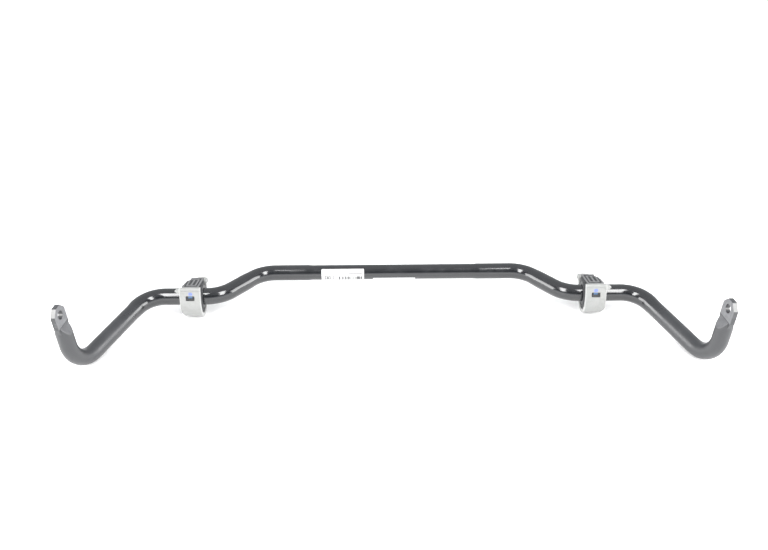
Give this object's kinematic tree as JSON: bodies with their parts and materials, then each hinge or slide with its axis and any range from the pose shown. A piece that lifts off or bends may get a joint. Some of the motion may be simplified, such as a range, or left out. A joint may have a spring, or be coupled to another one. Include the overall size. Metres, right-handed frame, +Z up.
{
  "type": "sway bar",
  "caption": "Bent round anti-roll bar with flattened drilled ends, turning in split rubber bushes held by cast clamp brackets",
  "frame": {"origin": "middle of the part's footprint on the floor it lies on", "axes": "+X along the bar, +Y from the arms towards the middle run, +Z up off the floor"},
  "size_m": [0.9392, 0.2433, 0.1134],
  "materials": {
    "black_paint": "semi-gloss black chassis paint",
    "cast_bracket": "fine sand-grain as cast",
    "bush_rubber": "moulded matte",
    "shell_plastic": "moulded matte",
    "label_paper": "white label stock"
  },
  "bodies": {
    "bar": {"bar": "black_paint", "part_label": "label_paper", "code_label": "label_paper"},
    "left_mount": {"left_bracket": "cast_bracket", "left_bush_base": "bush_rubber", "left_bush_cup": "bush_rubber", "left_upper_shell": "shell_plastic", "left_lower_shell": "shell_plastic"},
    "right_mount": {"right_bracket": "cast_bracket", "right_bush_base": "bush_rubber", "right_bush_cup": "bush_rubber", "right_upper_shell": "shell_plastic", "right_lower_shell": "shell_plastic"}
  },
  "joints": [
    {"name": "left_mount_turn", "type": "hinge", "parent": "bar", "child": "left_mount", "pos_m": [-0.306, 0.04723, 0.0305], "axis": [1, 0, 0], "range_deg": [-30, 30]},
    {"name": "right_mount_turn", "type": "hinge", "parent": "bar", "child": "right_mount", "pos_m": [0.306, 0.04723, 0.0305], "axis": [1, 0, 0], "range_deg": [-30, 30]}
  ]
}
